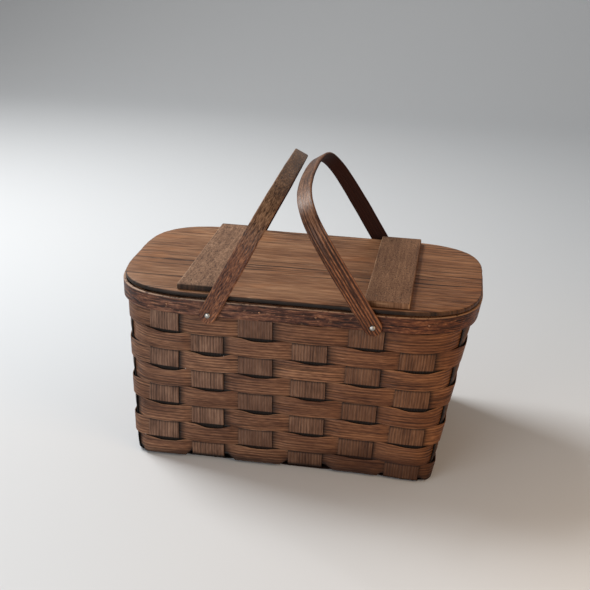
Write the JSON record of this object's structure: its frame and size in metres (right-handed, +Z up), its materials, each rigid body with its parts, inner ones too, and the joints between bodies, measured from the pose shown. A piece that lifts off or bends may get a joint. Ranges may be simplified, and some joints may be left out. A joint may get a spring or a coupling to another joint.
{
  "type": "woven splint picnic basket",
  "caption": "Oblong picnic basket woven of wood splint, with banded rim, lift-off board lid with cross battens, and bent-wood carrying handles that swing on bolts.",
  "frame": {"origin": "on the ground, under the middle of the rim", "axes": "+X along the length towards the right end, +Y towards the back, +Z up; the front of the picture looks towards -Y"},
  "size_m": [0.4651, 0.3206, 0.3662],
  "materials": {
    "weaver_wood": "oiled ash splint, satin",
    "splint_wood": "dry ash splint, matt",
    "rim_wood": "worn dark stain",
    "lid_wood": "worn varnish, satin",
    "batten_wood": "dry and matt",
    "handle_wood": "dark stain, polished by use",
    "steel": "dull",
    "copper": "tarnished"
  },
  "bodies": {
    "basket": {"weaver_row_0": "weaver_wood", "weaver_row_1": "weaver_wood", "weaver_row_2": "weaver_wood", "weaver_row_3": "weaver_wood", "weaver_row_4": "weaver_wood", "weaver_row_5": "weaver_wood", "weaver_row_6": "weaver_wood", "weaver_row_7": "weaver_wood", "weaver_row_8": "weaver_wood", "cross_splint_1": "splint_wood", "cross_splint_2": "splint_wood", "cross_splint_3": "splint_wood", "cross_splint_4": "splint_wood", "cross_splint_5": "splint_wood", "cross_splint_6": "splint_wood", "long_splint_1": "splint_wood", "long_splint_2": "splint_wood", "long_splint_3": "splint_wood", "long_splint_4": "splint_wood", "outer_rim": "rim_wood", "inner_rim": "rim_wood", "rim_nail_1": "copper", "rim_nail_2": "copper", "rim_nail_3": "copper", "rim_nail_4": "copper", "rim_nail_5": "copper", "rim_nail_6": "copper", "rim_nail_7": "copper", "rim_nail_8": "copper", "rim_nail_9": "copper", "rim_nail_10": "copper", "pivot_bolt_front_left": "steel", "pivot_washer_front_left": "steel", "pivot_nut_front_left": "steel", "pivot_bolt_back_left": "steel", "pivot_washer_back_left": "steel", "pivot_nut_back_left": "steel", "pivot_bolt_front_right": "steel", "pivot_washer_front_right": "steel", "pivot_nut_front_right": "steel", "pivot_bolt_back_right": "steel", "pivot_washer_back_right": "steel", "pivot_nut_back_right": "steel"},
    "lid": {"lid_board": "lid_wood", "batten_left": "batten_wood", "batten_right": "batten_wood", "batten_nail_1": "steel", "batten_nail_2": "steel", "batten_nail_3": "steel", "batten_nail_4": "steel", "batten_nail_5": "steel", "batten_nail_6": "steel", "batten_nail_7": "steel", "batten_nail_8": "steel", "batten_nail_9": "steel", "batten_nail_10": "steel", "batten_nail_11": "steel", "batten_nail_12": "steel"},
    "left_handle": {"left_handle": "handle_wood"},
    "right_handle": {"right_handle": "handle_wood"}
  },
  "joints": [
    {"name": "left_handle_swing", "type": "hinge", "parent": "basket", "child": "left_handle", "pos_m": [-0.10097, 0, 0.1985], "axis": [0, -1, 0], "range_deg": [0, 163]},
    {"name": "right_handle_swing", "type": "hinge", "parent": "basket", "child": "right_handle", "pos_m": [0.10097, 0, 0.201], "axis": [0, 1, 0], "range_deg": [0, 175]},
    {"name": "lid_lift", "type": "slide", "parent": "basket", "child": "lid", "axis": [0, 0, 1], "range_m": [0, 0.07]}
  ]
}
